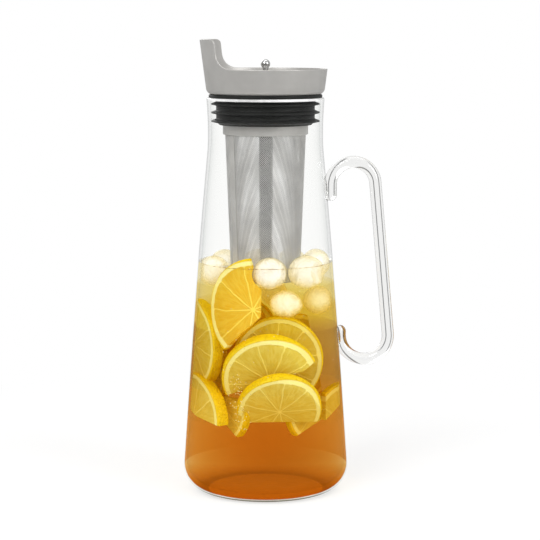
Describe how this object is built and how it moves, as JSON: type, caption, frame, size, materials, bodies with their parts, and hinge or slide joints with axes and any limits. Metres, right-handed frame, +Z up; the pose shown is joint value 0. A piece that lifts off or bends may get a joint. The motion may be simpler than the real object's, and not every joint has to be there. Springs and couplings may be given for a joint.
{
  "type": "iced tea maker",
  "caption": "Tall glass carafe with a glass rod handle, a steel pouring lid with a spout and hinged flap, a finned silicone stopper and a hanging mesh strainer.",
  "frame": {"origin": "centre of the carafe's base on the plane it stands on", "axes": "+Z up along the carafe's axis, +X towards the handle, -X towards the spout"},
  "size_m": [0.1405, 0.1098, 0.3005],
  "materials": {
    "clear_glass": "clear blown borosilicate",
    "satin_steel": "satin",
    "polished_steel": "polished",
    "mesh_steel": "fine etched mesh",
    "black_silicone": "matte"
  },
  "bodies": {
    "carafe": {"carafe_glass": "clear_glass", "carafe_handle": "clear_glass"},
    "lid": {"lid_shell": "satin_steel", "lid_core": "satin_steel", "stopper_seal": "black_silicone", "hinge_bracket": "polished_steel", "hinge_pin": "polished_steel"},
    "pour_flap": {"flap": "satin_steel", "flap_gasket": "black_silicone", "knob": "polished_steel", "knob_nut": "polished_steel"},
    "strainer": {"strainer_collar": "satin_steel", "strainer_tube": "mesh_steel", "strainer_seam_strip": "satin_steel", "strainer_back_strip": "satin_steel", "strainer_base": "satin_steel", "strainer_floor": "mesh_steel"}
  },
  "joints": [
    {"name": "lid_lift", "type": "slide", "parent": "carafe", "child": "lid", "axis": [0, 0, 1], "range_m": [0, 0.18]},
    {"name": "flap_open", "type": "hinge", "parent": "lid", "child": "pour_flap", "pos_m": [0.024, 0, 0.2689], "axis": [0, 1, 0], "range_deg": [0, 80]},
    {"name": "strainer_pull", "type": "slide", "parent": "lid", "child": "strainer", "axis": [0, 0, -1], "range_m": [0, 0.025]}
  ]
}
